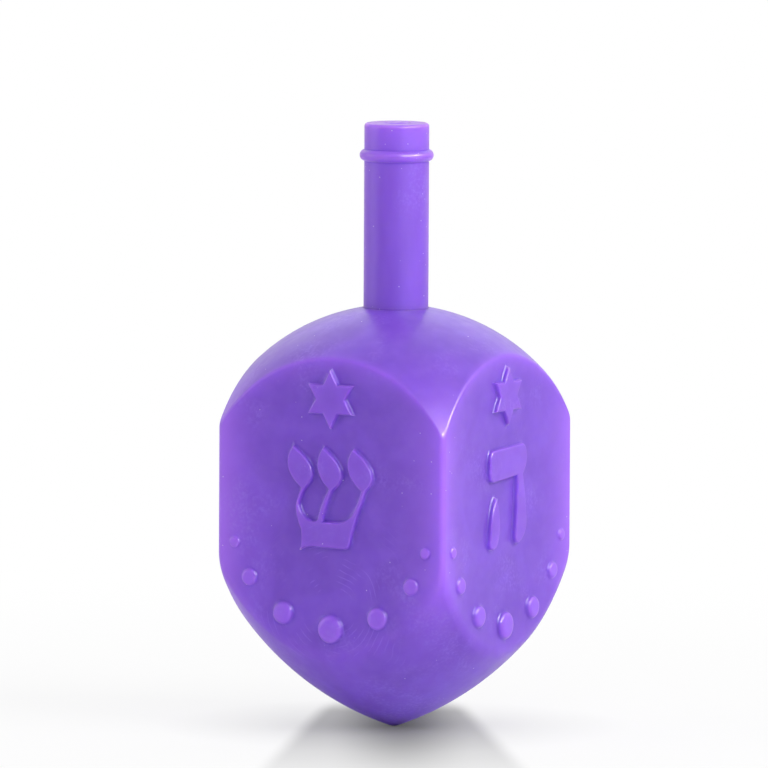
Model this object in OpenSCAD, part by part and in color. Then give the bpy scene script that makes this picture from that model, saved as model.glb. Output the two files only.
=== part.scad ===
// Dreidel: a four-sided spinning top made of two half shells and a stem.
// Millimetres. The origin is the spinning point and +Z runs up the spin axis.

/* [Body] */
// Width across two opposite faces, taken at the corner edges
body_w = 19; // [17:0.25:21]
// How far the middle of each face is sunk below its corner edges
face_sink = 0.25; // [0.1:0.05:0.4]
// Radius on the four upright corner edges
corner_r = 0.45; // [0.2:0.05:0.8]
// Radius of the dome above the faces
dome_r = 14.7; // [13.6:0.1:16]
// Height of the dome's centre above the spinning point
dome_z = 16.3; // [15:0.1:18]
// Radius of the curve from the corners down to the spinning point
point_curve_r = 22.2; // [20:0.1:26]
// How far the centre of that curve lies beyond the spin axis
point_curve_past = 7; // [5.5:0.1:8.5]
// Radius of the blunt spinning point
point_r = 1; // [0.5:0.1:1.5]
// Wall of the half shells
wall = 1.8; // [1.5:0.1:2.4]

/* [Stem] */
// Diameter of the stem
stem_d = 4.75; // [4:0.05:5.5]
// Height of the stem above the top of the dome
stem_reach = 13.45; // [10:0.05:18]
// Length of the stem held inside the dome
stem_grip = 8; // [6:0.25:9]
// Radius on the stem's top edge
stem_edge_r = 0.25; // [0.1:0.05:0.5]
// Distance of the bead's middle below the top of the stem
bead_drop = 2.45; // [1.5:0.05:4]
// Radius of the bead's round section
bead_section_r = 0.42; // [0.3:0.02:0.6]
// How far the bead stands out of the stem
bead_proud = 0.35; // [0.2:0.05:0.5]
// Radius of the moulding mark on top of the stem
gate_r = 1.1; // [0.6:0.1:1.5]
// Height of the moulding mark
gate_h = 0.15; // [0.05:0.05:0.3]

/* [Stem seat] */
// How far the sides of the square key at the stem's foot stand out of the stem
key_proud = 0.325; // [0.2:0.025:0.6]
// Height of the key
key_h = 1.6; // [1:0.1:2.5]
// Wall of the collar round the key's corners
collar_wall = 1.2; // [0.8:0.1:1.6]
// Floor of the collar below the key
collar_floor = 1.4; // [1:0.1:2]
// Clearance between the stem and its seat, and between the seam's lip and rebate
fit_gap = 0.05; // [0.02:0.01:0.1]

/* [Seam] */
// Thickness of the lip along the seam
lip_t = 0.8; // [0.5:0.05:1]
// How far the lip reaches across the seam
lip_reach = 0.9; // [0.5:0.1:1.5]

/* [Relief] */
// Height of the raised marks above the middle of a face
relief_h = 0.38; // [0.25:0.01:0.6]
// How deep the raised marks are rooted in the wall
relief_root = 0.4; // [0.2:0.1:0.8]
// Width of a playing letter's box
letter_w = 7.2; // [5:0.1:8]
// Height of a playing letter's box
letter_h = 7.6; // [5:0.1:8]
// Height of the letters' middle above the dome's centre
letter_rise = 1.15; // [0:0.05:2]
// Radius of the six points of the star
star_r = 2.15; // [1.5:0.05:2.5]
// Distance of the star's middle below the top of the face
star_drop = 2.95; // [2.6:0.05:4]
// Distance of the row of dots from the corner edges
dot_margin = 1.15; // [1:0.05:2]
// Diameter of the middle dot
dot_d = 2; // [1:0.1:2.4]
// How much smaller each next dot is
dot_step = 0.4; // [0.1:0.05:0.5]

/* [Hidden] */
$fn = 96;
shallow_curve_steps = 1440;

violet = [0.5, 0.36, 0.83];
deep_violet = [0.45, 0.31, 0.78];

// One overrun for all cuts
overrun = 1;

// Main heights and distances, worked out from the sizes above
corner_half = body_w / 2;
face_half = corner_half - face_sink;
face_curve_r = (corner_half * corner_half + face_sink * face_sink) / (2 * face_sink);
point_core_r = point_curve_r - point_r;
point_curve_z = point_r + sqrt(point_core_r * point_core_r - point_curve_past * point_curve_past);
point_blend_z = point_curve_z
    - point_curve_r * sqrt(1 - pow(point_curve_past / point_core_r, 2));
dome_top = dome_z + dome_r;
face_top = dome_z + sqrt(dome_r * dome_r - face_half * face_half);
span = 2 * (body_w + dome_r);

stem_r = stem_d / 2;
stem_top = dome_top + stem_reach;
stem_foot = dome_top - stem_grip;
bead_z = stem_top - bead_drop;
bead_ring_r = stem_r + bead_proud - bead_section_r;
key_w = stem_d + 2 * key_proud;
collar_r = key_w / sqrt(2) + collar_wall;
collar_foot = stem_foot - collar_floor;

// The seam runs through the corner edges left and right of the front corner
seam_turn = 135;

// Which way each side looks, as a turn about the spin axis
face_turn = 90;

// Angles of the dots from straight down, from the middle dot outwards
dot_turns = [0, 28.3, 54.3, 73.6];
dot_ring_r = corner_half - dot_margin;

// Steps along each curved stretch of a letter
curve_steps = 8;

// Letters are outlines in shares of the letter's box, with the box's middle at zero.
// Each row is a corner, and where the stretch to the next corner is curved, the point it bends towards.
shin_shares = [
    [[-0.43, 0.5], [-0.6, 0.3]],
    [[-0.335, 0.1], [-0.37, 0.04]],
    [[-0.395, -0.06], [-0.405, -0.17]],
    [[-0.335, -0.3], [-0.32, -0.42]],
    [[-0.345, -0.5], [-0.29, -0.46]],
    [[-0.2, -0.46]],
    [[0.14, -0.47], [0.235, -0.48]],
    [[0.245, -0.38], [0.29, -0.2]],
    [[0.375, -0.02], [0.4, 0.06]],
    [[0.42, 0.1], [0.63, 0.26]],
    [[0.27, 0.5], [0.1, 0.3]],
    [[0.365, 0.1], [0.35, 0.03]],
    [[0.3, -0.06], [0.24, -0.2]],
    [[0.1, -0.215]],
    [[-0.08, -0.215], [-0.07, -0.1]],
    [[0.035, 0.09], [0.29, 0.25]],
    [[-0.08, 0.5], [-0.245, 0.3]],
    [[-0.015, 0.1], [-0.11, -0.06]],
    [[-0.14, -0.19], [-0.155, -0.22]],
    [[-0.215, -0.215], [-0.33, -0.18]],
    [[-0.36, -0.05], [-0.34, 0.03]],
    [[-0.285, 0.1], [-0.06, 0.27]]
];
hay_shares = [
    [[-0.31, 0.46]],
    [[0.27, 0.49], [0.36, 0.49]],
    [[0.37, 0.38], [0.38, 0.27]],
    [[0.29, 0.19], [0.35, 0]],
    [[0.37, -0.24], [0.38, -0.4]],
    [[0.22, -0.47], [0.14, -0.47]],
    [[0.14, -0.4], [0.19, -0.1]],
    [[0.18, 0.185]],
    [[-0.27, 0.15], [-0.38, 0.14]],
    [[-0.38, 0.25], [-0.39, 0.45]]
];
hay_leg_shares = [
    [[-0.245, 0], [-0.14, -0.2]],
    [[-0.2, -0.4], [-0.22, -0.5]],
    [[-0.33, -0.5], [-0.4, -0.49]],
    [[-0.37, -0.4], [-0.36, -0.12]]
];
gimel_shares = [
    [[-0.12, 0.5], [-0.3, 0.3]],
    [[-0.05, 0.12], [0.05, 0]],
    [[0.06, -0.14], [0.03, -0.2]],
    [[-0.08, -0.24], [-0.24, -0.27]],
    [[-0.31, -0.36], [-0.36, -0.42]],
    [[-0.29, -0.5], [-0.25, -0.51]],
    [[-0.2, -0.47], [-0.08, -0.38]],
    [[0.07, -0.34], [0.1, -0.42]],
    [[0.17, -0.5], [0.24, -0.52]],
    [[0.3, -0.46], [0.22, -0.32]],
    [[0.2, -0.16], [0.19, 0.02]],
    [[0.02, 0.13], [0.27, 0.27]]
];
nun_shares = [
    [[-0.1, 0.5], [-0.28, 0.3]],
    [[-0.03, 0.12], [0.08, 0.02]],
    [[0.07, -0.2], [0.07, -0.27]],
    [[0, -0.27]],
    [[-0.25, -0.25], [-0.32, -0.26]],
    [[-0.32, -0.36], [-0.33, -0.5]],
    [[-0.26, -0.49]],
    [[0.12, -0.5], [0.24, -0.5]],
    [[0.24, -0.34], [0.25, -0.02]],
    [[0.04, 0.13], [0.29, 0.27]]
];

function bend(a, b, c, t) = (1 - t) * (1 - t) * a + 2 * t * (1 - t) * b + t * t * c;
function in_box(p) = [p[0] * letter_w, p[1] * letter_h];

// Closed outline through the corners of a table of shares
module outline(shares) {
    last = len(shares) - 1;
    polygon([
        for (i = [0 : last]) let (
            row = shares[i],
            next = shares[i == last ? 0 : i + 1][0],
            steps = len(row) == 2 ? curve_steps : 1
        )
        for (k = [0 : steps - 1])
            in_box(steps == 1 ? row[0] : bend(row[0], row[1], next, k / steps))
    ]);
}

module letter(outlines) {
    for (shares = outlines) outline(shares);
}

module star() {
    for (turn = [90, -90]) rotate(turn) circle(r = star_r, $fn = 3);
}

module dots() {
    for (i = [0 : len(dot_turns) - 1], side = [-1, 1])
        if (i > 0 || side > 0)
            rotate(side * dot_turns[i])
                translate([0, -dot_ring_r]) circle(d = dot_d - i * dot_step);
}

// Raised marks of one face, turned to that face
module marks(turn, letter_outlines) {
    rotate([0, 0, turn]) translate([0, relief_root - face_half, 0]) rotate([90, 0, 0])
        linear_extrude(relief_root + relief_h) {
            translate([0, face_top - star_drop]) star();
            translate([0, dome_z + letter_rise]) letter(letter_outlines);
            translate([0, dome_z]) dots();
        }
}

// Square outline of the body with round corners and slightly hollow sides
module outer_plan() {
    core = body_w - 2 * corner_r;
    difference() {
        union() {
            square([body_w, core], center = true);
            square([core, body_w], center = true);
            for (x = [-core / 2, core / 2], y = [-core / 2, core / 2])
                translate([x, y]) circle(r = corner_r);
        }
        for (i = [0 : 3]) rotate(i * face_turn)
            translate([0, -face_half - face_curve_r]) circle(r = face_curve_r, $fn = shallow_curve_steps);
    }
}

// Half of the round section below the dome, a distance inset below the outer surface
module point_section(inset) {
    intersection() {
        translate([-point_curve_past, point_curve_z]) circle(r = point_curve_r - inset);
        translate([0, -span]) square([span, 2 * span]);
    }
}

// The same section with its blunt spinning point
module blunt_point_section() {
    intersection() {
        point_section(0);
        union() {
            translate([0, point_blend_z]) square([span, span]);
            translate([0, point_r]) circle(r = point_r);
        }
    }
}

// The dome, carried down past the spinning point
module dome_form(inset) {
    translate([0, 0, dome_z]) sphere(r = dome_r - inset);
    translate([0, 0, -overrun]) cylinder(r = dome_r - inset, h = dome_z + overrun);
}

module outer_form() {
    intersection() {
        rotate_extrude() blunt_point_section();
        dome_form(0);
        translate([0, 0, -overrun]) linear_extrude(span) outer_plan();
    }
}

module inner_form(inset) {
    side = 2 * (face_half - inset);
    intersection() {
        rotate_extrude() point_section(inset);
        dome_form(inset);
        translate([0, 0, -overrun]) linear_extrude(span) square(side, center = true);
    }
}

// A slab square to the seam, between two distances from it
module seam_slab(from, to) {
    rotate([0, 0, seam_turn]) translate([from, -span / 2, -overrun]) cube([to - from, span, span]);
}

module collar_core(gap) {
    translate([0, 0, collar_foot - gap]) cylinder(r = collar_r + gap, h = span);
}

module hollow() {
    difference() {
        inner_form(wall);
        collar_core(0);
    }
}

// The stem's round shank and square foot, with a clearance all round
module stem_seat(gap) {
    translate([0, 0, stem_foot - gap]) {
        cylinder(r = stem_r + gap, h = span);
        translate([0, 0, key_h / 2 + gap])
            cube([key_w + 2 * gap, key_w + 2 * gap, key_h + 2 * gap], center = true);
    }
}

// Half shell with the front and right faces, and the lip along the seam
module front_half_shell() {
    color(violet) difference() {
        union() {
            intersection() {
                outer_form();
                seam_slab(-span / 2, 0);
            }
            difference() {
                intersection() {
                    inner_form(wall - lip_t);
                    seam_slab(-lip_reach, lip_reach);
                }
                collar_core(fit_gap);
            }
            marks(0, [shin_shares]);
            marks(face_turn, [hay_shares, hay_leg_shares]);
        }
        hollow();
        stem_seat(fit_gap);
    }
}

// Half shell with the back and left faces, and the rebate along the seam
module rear_half_shell() {
    color(violet) difference() {
        union() {
            intersection() {
                outer_form();
                seam_slab(0, span / 2);
            }
            marks(2 * face_turn, [gimel_shares]);
            marks(3 * face_turn, [nun_shares]);
        }
        hollow();
        stem_seat(fit_gap);
        difference() {
            intersection() {
                inner_form(wall - lip_t - fit_gap);
                seam_slab(-lip_reach, lip_reach + fit_gap);
            }
            collar_core(0);
        }
    }
}

// Stem with its bead, moulding mark and square foot
module finger_stem() {
    shank_h = stem_top - stem_foot - gate_h;
    color(deep_violet) {
        translate([0, 0, stem_foot]) rotate_extrude() {
            square([stem_r - stem_edge_r, shank_h]);
            square([stem_r, shank_h - stem_edge_r]);
            intersection() {
                translate([stem_r - stem_edge_r, shank_h - stem_edge_r]) circle(r = stem_edge_r);
                square([stem_r, shank_h]);
            }
        }
        translate([0, 0, bead_z]) rotate_extrude()
            translate([bead_ring_r, 0]) circle(r = bead_section_r);
        translate([0, 0, stem_foot]) cylinder(r = gate_r, h = stem_top - stem_foot);
        translate([0, 0, stem_foot + key_h / 2]) cube([key_w, key_w, key_h], center = true);
    }
}

front_half_shell();
rear_half_shell();
finger_stem();
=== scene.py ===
"""Dreidel: moulded half shells, a finger stem and a studio stage, dressed round the packed frame.

Lengths are metres. The spinning point is at zero, +Z runs up the spin axis and -Y is the front face.
"""

import math

import bmesh
import bpy
import numpy as np
from bpy.props import FloatProperty, FloatVectorProperty, PointerProperty
from mathutils import Matrix, Vector, noise


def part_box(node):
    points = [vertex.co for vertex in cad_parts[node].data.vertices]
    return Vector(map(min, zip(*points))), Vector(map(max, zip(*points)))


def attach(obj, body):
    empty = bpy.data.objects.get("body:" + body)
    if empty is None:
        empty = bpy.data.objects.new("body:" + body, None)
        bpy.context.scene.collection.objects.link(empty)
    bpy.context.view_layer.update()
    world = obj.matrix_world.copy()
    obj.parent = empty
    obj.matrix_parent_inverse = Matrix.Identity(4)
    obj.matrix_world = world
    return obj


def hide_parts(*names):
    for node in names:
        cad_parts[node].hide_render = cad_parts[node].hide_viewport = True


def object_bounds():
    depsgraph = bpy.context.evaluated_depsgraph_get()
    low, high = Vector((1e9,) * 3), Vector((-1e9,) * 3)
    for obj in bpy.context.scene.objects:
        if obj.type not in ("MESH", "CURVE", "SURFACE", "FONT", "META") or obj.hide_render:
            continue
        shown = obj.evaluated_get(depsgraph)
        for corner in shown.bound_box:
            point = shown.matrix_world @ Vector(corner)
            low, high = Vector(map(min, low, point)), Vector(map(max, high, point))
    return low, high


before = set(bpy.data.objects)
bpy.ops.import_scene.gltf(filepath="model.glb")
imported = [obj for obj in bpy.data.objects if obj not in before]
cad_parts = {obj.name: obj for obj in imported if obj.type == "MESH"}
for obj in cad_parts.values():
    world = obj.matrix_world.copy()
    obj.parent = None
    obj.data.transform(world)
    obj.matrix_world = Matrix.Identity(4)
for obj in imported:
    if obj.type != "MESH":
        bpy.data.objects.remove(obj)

CAD_LOW, CAD_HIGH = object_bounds()
STEM_LOW, STEM_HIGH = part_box("finger_stem")

bl_info = {
    "name": "Dreidel",
    "version": (1, 0, 0),
    "blender": (4, 5, 0),
    "location": "View3D > Sidebar > Dreidel",
    "description": "Models a moulded dreidel and its studio stage round the packed frame",
    "category": "Add Mesh",
}

MILLIMETRE = 0.001
WELD = 1e-7
PHOTO_PIXELS = 768

# The raised marks reach exactly to the sides of the frame's box
RELIEF_PLANE = CAD_HIGH.x

# Steps along each stretch of the body's upright profile, and round one corner and one face
TIP_ROWS, POINT_ROWS, LOW_ROWS, SIDE_ROWS, TOP_ROWS, DOME_ROWS = 6, 46, 12, 60, 10, 44
INSIDE_ROWS = 8
CORNER_COLUMNS, FACE_COLUMNS = 8, 64
SEAM_TURN = math.radians(-135)
QUARTER = math.radians(90)

# Longest move of an outline's corner, in times the growth of the outline
MITRE_LIMIT = 1.5
# Share of the free room that an outline may grow into, and how fast that growth may change along it
ROOM_SHARE, GROWTH_SLOPE = 0.4, 0.5
# Two points face each other across a neck where the way along the outline is this many times longer
NECK_DETOUR = 2.2
# Sides of an outline that are shorter than the first are left out, and longer than the second straight
SHORT_SIDE, LONG_SIDE = 0.12 * MILLIMETRE, 1.0 * MILLIMETRE
# Least share of its length that a side keeps when the outline grows, tries to reach that, and the
# share of the growth that each try keeps
FOLD_LEFT, FOLD_TRIES, FOLD_EASE = 0.25, 30, 0.6
# A dot's radii differ by no more than this share, and its circle has this many points
ROUND_TOLERANCE, DOT_POINTS = 0.02, 56
# Points this near the relief plane lie on it, and corners that turn less than this are left out
PLANE_TOLERANCE, STRAIGHT_TURN = 0.01 * MILLIMETRE, math.radians(1)
# Rise of an arc, in times its chord and its turn
ARC_RISE = 1 / 8
# Degrees of each step round a mark's fillet and its crown, and steps of each
ROUND_TURN, ROUND_STEPS = 18, 5
# Shares of a mark's height that its fillet takes, and by which its first ring lies below the face
FILLET_HEIGHT, RING_SINK = 0.42, 0.06
# A mark's flat top lies this near the relief plane, and faces outwards at least this much
FLAT_TOLERANCE, FLAT_FACING = 1e-6, 0.99
# Edges that turn more than this are shaded sharp
SHARP_TURN = math.radians(40)

# Painted glow, standing in for light that comes through thin plastic: how pale the plastic is painted at
# the upright, upper and lower edges of a face, and how far in that goes
CORNER_PALE = (0.95, 2.0 * MILLIMETRE)
TOP_PALE = (0.55, 0.6 * MILLIMETRE)
LOW_PALE = (0.2, 0.8 * MILLIMETRE)
# Power of that fall, and how much faster the upper edge's ends on the dome and below the dome's centre
PALE_POWER, DOME_FALL, BELOW_FALL = 1.1, 2.5, 10.0
# Share of a dot's paleness that a letter has, and how far a dot's goes, in times its radius
LETTER_PALE, DOT_REACH = 0.45, 1.5
# Painted glow, standing in for light that comes through the slim stem: how pale the stem's end is
# painted and how far down that goes, and how pale its bead is painted
END_PALE, BEAD_PALE = (0.6, 2.4 * MILLIMETRE), 0.5
# Distance from the seam, in millimetres, of a piece that has none
NO_SEAM = 100.0

# Steps along the stem's profile, from the scar on its end to its foot, and round it
SCAR_ROWS, SCAR_SIDE_ROWS, END_ROWS, EDGE_ROWS = 8, 3, 5, 8
NECK_ROWS, BEAD_ROWS, SHANK_ROWS = 10, 40, 60
STEM_COLUMNS = 144
# Scales of the bead's waves and dents, the place of the dents in the noise, and where the bead
# starts, in times the stem's radius
BEAD_WAVES, BEAD_DENTS, DENT_PLACE, BEAD_START = 1.3, 2.1, Vector((5, 0, 0)), 1.01
# Share of the scar's radius that is flat, and how far its wear goes, in times its radius
SCAR_FLAT, SCAR_REACH = 0.85, 1.5
# Scales of the scar's lumps and grain, and the share of the grain
SCAR_LUMPS, SCAR_GRAIN, GRAIN_SHARE = 0.9 / MILLIMETRE, 2.6 / MILLIMETRE, 0.5
# How far lumps move the scar sideways, how far its top sinks and how lumpy it is, how much of both
# is used, and how lumpy the end round it is
SCAR_SPREAD, SCAR_SINK, SCAR_LUMPY, SCAR_DEPTH, END_LUMPY = 0.18, 0.35, 0.5, 0.9, 0.25

# Noise in the plastic: scale per millimetre, detail and distortion, and the range that is used
FLOW_GRAIN, FLOW_RANGE = (0.16, 3.0, 1.2), (0.35, 0.65)
CLOUD_GRAIN, CLOUD_RANGE = (0.9, 2.0, 0.0), (0.3, 0.7)
PATCH_GRAIN, PATCH_RANGE = (0.5, 3.0, 0.5), (0.5, 0.66)
WORN_GRAIN, WORN_RANGE = (0.22, 2.0, 0.0), (0.5, 0.7)
FROST_GRAIN, FROST_RANGE = (4.0, 4.0, 0.0), (0.4, 0.75)
GLOSS_GRAIN, GLOSS_RANGE = (1.3, 3.0, 0.0), (0.25, 0.75)
WAVE_GRAIN, FINE_GRAIN = (0.35, 1.0, 0.0), (7.0, 3.0, 0.0)
# How strongly the clouds show, and how far the roughness goes down and up
CLOUD_SHARE, GLOSS_DOWN, GLOSS_UP = 0.1, 0.03, 0.04
# Rings that the scuffs follow, the part of a ring that is a scuff, and where they fade, in millimetres
SCUFF_RINGS = {"Scale": 0.7, "Distortion": 9.0, "Detail": 3.0, "Detail Scale": 0.35}
SCUFF_LINE, SCUFF_FADE = (0.86, 1.0), (3.0, 9.0)
# How much a scuff dulls the gloss, and how far it stands out compared with a speck
SCUFF_DULL, SCUFF_PROUD = 0.15, 0.12
# Middle of the scuffs on the front face, and a middle so low that the stem has none
SCUFF_CENTRE = (0.0002, -RELIEF_PLANE, 0.0095)
SCUFFS_AWAY = (0.0, 0.0, -0.1)
# The pale specks are partly specks in the plastic and partly painted glints
# Specks per millimetre, where a speck ends in its cell, and how softly cells are chosen for one
SPECK_SCALE, SPECK_EDGE, SPECK_CHOICE = 2.0, (0.06, 0.12), 0.005
# Share of the cells that have a speck, on the body and on the stem
BODY_SPECKS_AND_GLINTS, STEM_SPECKS = 0.06, 0.35
# Scale of the stem's flow marks along it, in times their scale across it
STEM_STREAK = 0.25
# Heights of the waves, the fine grain and the specks
WAVE_HEIGHT, GRAIN_HEIGHT, SPECK_HEIGHT = 0.006 * MILLIMETRE, 0.0022 * MILLIMETRE, 0.012 * MILLIMETRE
SKIN_ROUGHNESS, HAZE_ROUGHNESS = 0.14, 0.35
# How far red, green and blue light scatter, compared with each other, and where that is full again
# beside the seam, in times the depth
SCATTER, SEAM_REACH = (1.2, 0.9, 1.0), 2

# Each lamp's name, azimuth and elevation in degrees, width and power, and if only the gloss shows it
LAMPS = (
    ("key_lamp", 86, 34, 0.34, "key_power", False),
    ("fill_lamp", -58, 10, 0.34, "fill_power", False),
    ("front_lamp", 38, 44, 0.36, "front_power", False),
    ("back_lamp", -150, 46, 0.6, "back_power", False),
    ("right_glint_lamp", 103, 31, 0.1, "glint_power", True),
    ("front_glint_lamp", 62, 27, 0.1, "glint_power", True),
)
LAMP_DISTANCE = 0.6
SENSOR_WIDTH, CLIP_START, CLIP_END = 36.0, 0.01, 20.0
# Half the floor's side, its faint clouds and how much darker they are, its roughness, and shade samples
FLOOR_HALF, FLOOR_CLOUDS, FLOOR_DARKER = 4.0, {"Scale": 30.0, "Detail": 4.0}, 0.97
FLOOR_ROUGHNESS, SHADE_SAMPLES = 0.9, 16
# Cosines of the turn from the front, between which the surroundings change
SKY_BEHIND, SKY_FRONT = -0.6, 0.9
WHITE = (1.0, 1.0, 1.0, 1.0)

# Sockets of a Mix node that share their names with others, so that they go by number
MIX_FACTOR, NUMBER_FIRST, NUMBER_SECOND, NUMBER_RESULT = 0, 2, 3, 0
COLOUR_FIRST, COLOUR_SECOND, COLOUR_RESULT = 6, 7, 2
# Distance between nodes in the editor
NODE_STEP = 200

# Node of each half, and its turn about the spin axis
HALVES = (("front_half_shell", 0.0), ("rear_half_shell", math.pi))


def size(name, description, default):
    """A length that a user may change."""
    return FloatProperty(
        name=name, description=description, default=default, min=0.0, precision=5, unit="LENGTH"
    )


def share(name, description, default, top=1.0):
    """A plain number that a user may change."""
    return FloatProperty(
        name=name, description=description, default=default, min=0.0, max=top, precision=4
    )


def turn(name, description, default):
    """An angle that a user may change, given in degrees."""
    return FloatProperty(
        name=name, description=description, default=math.radians(default), subtype="ANGLE"
    )


def tint(name, description, default):
    """A colour that a user may change, in linear light."""
    return FloatVectorProperty(
        name=name, description=description, default=default, size=3, min=0.0, max=1.0, subtype="COLOR"
    )


class BodyShape(bpy.types.PropertyGroup):
    """Sizes of the hollow body."""

    corner_half: size("Corner half width", "Distance of a face's corner edges from the axis", 0.00955)
    face_sink: size("Face sink", "How far the middle of a face lies below its corner edges", 0.0003)
    corner_radius: size("Corner radius", "Radius on the four upright edges", 0.00042)
    dome_radius: size("Dome radius", "Radius of the dome above the faces", 0.0147)
    dome_height: size("Dome height", "Height of the dome's centre", 0.0163)
    point_radius: size("Point curve", "Radius of the curve below the faces", 0.0222)
    point_past: size("Point past axis", "How far that curve's centre lies past the axis", 0.007)
    tip_radius: size("Tip radius", "Radius of the blunt spinning point", 0.001)
    wall: size("Wall", "Wall of the half shells", 0.0018)
    top_ease: size("Top edge ease", "Half width of the rounding above a face", 0.00021)
    low_ease: size("Low edge ease", "Half width of the rounding below a face", 0.0006)
    bore_gap: size("Bore gap", "Clearance round the stem", 0.00005)
    collar_wall: size("Collar wall", "Wall of the collar that holds the stem", 0.0012)
    collar_floor: size("Collar floor", "Floor of the collar below the stem", 0.0014)


class MarkShape(bpy.types.PropertyGroup):
    """Sizes of the raised letters, stars and dots."""

    root: size("Root", "How deep a mark reaches into the wall", 0.0004)
    foot: size("Foot fillet", "Width of the fillet round the foot of a mark", 0.00015)
    crown: size("Crown", "Width of the rounding on the top edge of a letter or star", 0.00014)
    crown_foot: share("Crown foot", "Share of a letter's height below its rounded edge", 0.45)
    dot_crown: share("Dot crown", "Share of a dot's radius that its rounded edge takes", 0.75)
    dot_foot: share("Dot foot", "Share of a dot's height below its rounded edge", 0.32)
    corner: turn("Sharp corner", "Outline corners that turn more than this stay sharp", 32)


class StemShape(bpy.types.PropertyGroup):
    """Sizes of the finger stem."""

    radius: size("Radius", "Radius of the stem", 0.002375)
    edge_radius: size("Edge radius", "Radius on the stem's top edge", 0.00024)
    bead_drop: size("Bead drop", "Distance of the bead's middle below the stem's top", 0.00245)
    bead_section: size("Bead section", "Radius of the bead's round section", 0.00042)
    bead_fillet: size("Bead fillet", "Width of the soft hollow beside the bead", 0.00016)
    bead_sway: size("Bead sway", "How unevenly the bead runs round the stem", 0.00003)
    gate_radius: size("Gate radius", "Radius of the moulding scar on the stem's end", 0.0011)
    gate_height: size("Gate height", "Height of the moulding scar", 0.0001)
    key_proud: size("Key", "How far the square foot stands out of the stem", 0.000325)
    key_height: size("Key height", "Height of the square foot", 0.0016)


class PlasticLook(bpy.types.PropertyGroup):
    """Colours and finish of the violet plastic."""

    colour: tint("Colour", "Main colour of the plastic", (0.215, 0.078, 0.68))
    deep: tint("Deep colour", "Colour where the plastic flowed thicker", (0.19, 0.066, 0.61))
    pale: tint("Pale colour", "Colour of worn edges and scuffs", (0.36, 0.2, 0.86))
    # Painted glints: the pale specks stand partly for specks in the plastic and partly for glints
    speck: tint("Speck colour", "Colour of the fine pale specks", (0.8, 0.66, 0.97))
    haze: tint("Haze colour", "Colour of the haze on the stem", (0.72, 0.45, 1.0))
    edge: tint("Edge colour", "Colour of thin edges, where light comes through", (0.41, 0.16, 0.97))
    # Strength of the pale specks, which partly paint glints
    specks: share("Specks", "How strongly the specks show", 0.6)
    # Painted light: edges and raised marks are painted paler, standing in for light that comes through
    # them
    painted_edge_glow: share("Painted edge glow", "How much paler the edges are", 1.0)
    raised: share("Raised marks", "How much paler the raised marks are", 0.55)
    scuffs: share("Scuffs", "How strongly the scuffs show", 0.42)
    frost: share("Frost", "How strongly the frosted patches show", 0.42)
    gloss: share("Roughness", "Roughness of the moulded surface", 0.36)
    shine: share("Shine", "Strength of the gloss below the skin", 0.36)
    skin: share("Skin", "Strength of the thin glossy skin", 0.18)
    glow: share("Translucency", "Share of the light that scatters below the surface", 0.8)
    glow_depth: size("Scatter depth", "How far light scatters below the surface", 0.00105)
    # Painted light: the slim stem is painted paler, standing in for light that comes through it
    stem_paler: share("Stem paler", "How much paler the slim stem looks than the body", 0.2)
    stem_haze: share("Stem haze", "How strongly the stem's sides look hazy", 0.85)
    stem_depth: size("Stem scatter depth", "How far light scatters below the stem's surface", 0.0018)


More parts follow.
